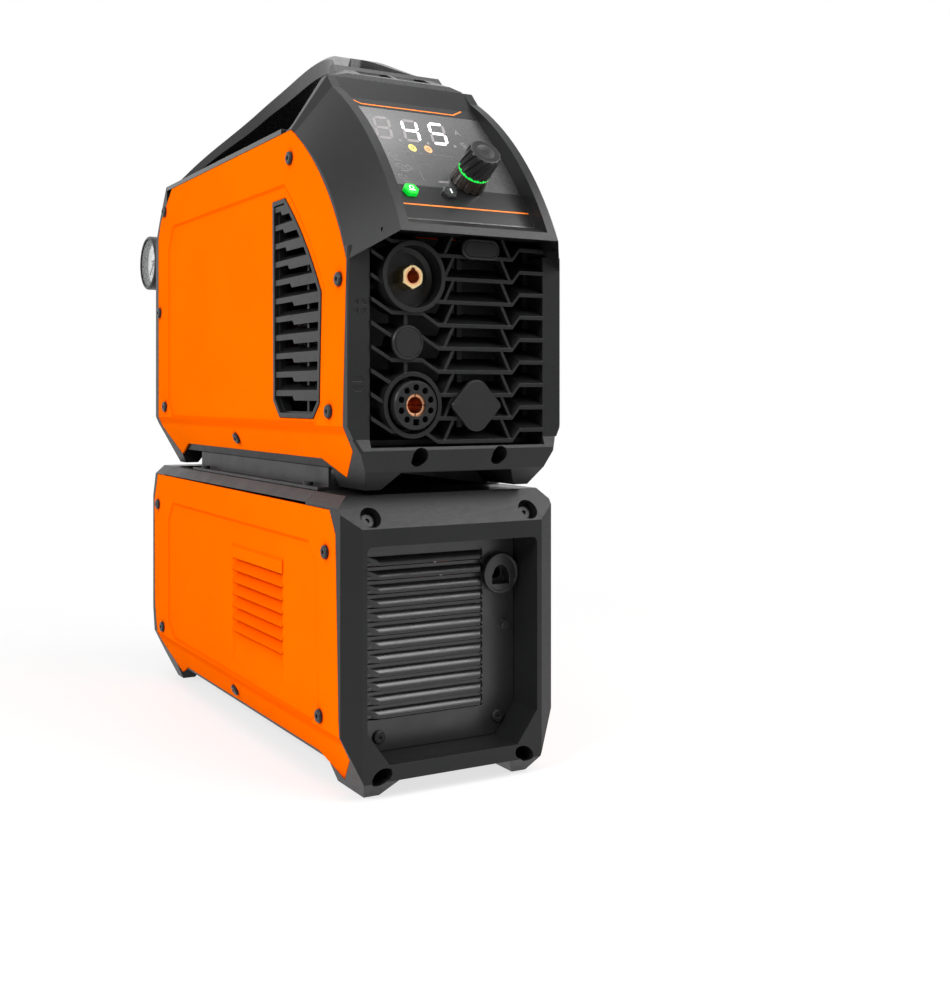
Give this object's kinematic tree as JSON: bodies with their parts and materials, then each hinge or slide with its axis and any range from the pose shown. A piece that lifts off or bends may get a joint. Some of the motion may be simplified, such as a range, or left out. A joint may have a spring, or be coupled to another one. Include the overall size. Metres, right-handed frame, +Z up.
{
  "type": "plasma cutter unit",
  "caption": "Portable inverter plasma cutter standing on its matching air compressor module, with slanted display, louvred front, sockets, carry handle and rear filter regulator.",
  "frame": {"origin": "on the floor under the centre of the whole unit's bounding box", "axes": "+Z up; the front with the display and sockets faces -Y; +X is on the right when looking at the front"},
  "size_m": [0.1628, 0.4675, 0.5043],
  "materials": {
    "black_plastic": "fine moulded texture",
    "orange_paint": "satin powder coat",
    "black_paint": "fine textured powder coat",
    "black_fittings": "smooth moulded",
    "gloss_black": "polished",
    "green_button": "lit translucent",
    "knob_plastic": "soft moulded",
    "light_ring": "lit translucent",
    "brass": "machined",
    "copper": "machined copper",
    "black_steel": "black oxide",
    "circuit_board": "solder mask",
    "aluminium": "satin",
    "ferrite": "matt ceramic",
    "capacitor_sleeve": "shrink sleeve",
    "valve_body": "moulded",
    "clear_bowl": "clear polycarbonate",
    "gauge_glass": "clear",
    "gauge_white": "printed white dial",
    "needle": "black",
    "motor_steel": "painted can",
    "rubber": "matt"
  },
  "bodies": {
    "housing": {"front_cowl": "black_plastic", "front_grille": "black_plastic", "display_lens": "gloss_black", "display_board": "circuit_board", "earth_socket_sleeve": "black_fittings", "earth_socket_contact": "brass", "torch_socket_body": "black_fittings", "torch_socket_contact": "copper", "round_blank": "black_fittings", "diamond_blank": "black_fittings", "oval_blank": "black_fittings", "right_side_panel": "orange_paint", "left_side_panel": "orange_paint", "right_vent_grille": "black_plastic", "left_vent_grille": "black_plastic", "side_screws": "black_steel", "carry_handle": "black_plastic", "rear_cover": "black_plastic", "base_tray": "black_paint", "power_board": "circuit_board", "heat_sink": "aluminium", "transformer": "ferrite", "capacitors": "capacitor_sleeve", "solenoid_valve": "valve_body", "fan_frame": "black_fittings", "switch_body": "black_fittings", "cable_gland": "black_fittings", "regulator_body": "aluminium", "filter_bowl": "clear_bowl", "gauge_case": "black_fittings", "gauge_dial": "gauge_white", "gauge_lens": "gauge_glass", "lower_front_cowl": "black_plastic", "louvre_panel": "black_paint", "outlet_bushing": "black_fittings", "front_screws": "black_steel", "lower_right_panel": "orange_paint", "lower_left_panel": "orange_paint", "lower_side_screws": "black_steel", "lower_top_cover": "black_paint", "lower_rear_cover": "black_plastic", "lower_base_tray": "black_paint", "compressor_motor": "motor_steel", "compressor_pump": "aluminium", "motor_bracket": "black_paint", "rubber_mounts": "rubber", "air_hose": "rubber", "rubber_feet": "rubber", "joining_brackets": "black_paint", "bracket_screws": "black_steel"},
    "knob": {"knob_skirt": "knob_plastic", "knob_light_ring": "light_ring", "knob_cap": "knob_plastic"},
    "green_key": {"green_button": "green_button"},
    "dark_key": {"dark_button": "gloss_black"},
    "fan_wheel": {"fan_rotor": "black_fittings"},
    "rocker": {"switch_rocker": "gloss_black"},
    "pressure_knob": {"regulator_knob": "black_fittings"},
    "needle": {"gauge_needle": "needle"},
    "compressor_shaft": {"compressor_fan": "black_fittings"}
  },
  "joints": [
    {"name": "current_knob_turn", "type": "hinge", "parent": "housing", "child": "knob", "pos_m": [0.012, -0.19795, 0.38782], "axis": [0, -0.803, 0.596], "continuous": true},
    {"name": "green_button_press", "type": "slide", "parent": "housing", "child": "green_key", "axis": [0, 0.803, -0.596], "range_m": [0, 0.001], "stiffness_N_per_m": 600, "springref_m": -0.001},
    {"name": "dark_button_press", "type": "slide", "parent": "housing", "child": "dark_key", "axis": [0, 0.803, -0.596], "range_m": [0, 0.001], "stiffness_N_per_m": 600, "springref_m": -0.001},
    {"name": "fan_turn", "type": "hinge", "parent": "housing", "child": "fan_wheel", "pos_m": [0.012, 0.15325, 0.275], "axis": [0, 1, 0], "continuous": true},
    {"name": "mains_switch_rock", "type": "hinge", "parent": "housing", "child": "rocker", "pos_m": [0.038, 0.17125, 0.369], "axis": [1, 0, 0], "range_deg": [-8, 8]},
    {"name": "pressure_knob_turn", "type": "hinge", "parent": "housing", "child": "pressure_knob", "pos_m": [-0.038, 0.20925, 0.381], "axis": [0, 0, 1], "range_deg": [0, 1440]},
    {"name": "gauge_needle_sweep", "type": "hinge", "parent": "housing", "child": "needle", "pos_m": [-0.07, 0.20925, 0.372], "axis": [1, 0, 0], "range_deg": [0, 270]},
    {"name": "compressor_shaft_turn", "type": "hinge", "parent": "housing", "child": "compressor_shaft", "pos_m": [-0.006, 0.08725, 0.086], "axis": [0, 1, 0], "continuous": true}
  ]
}
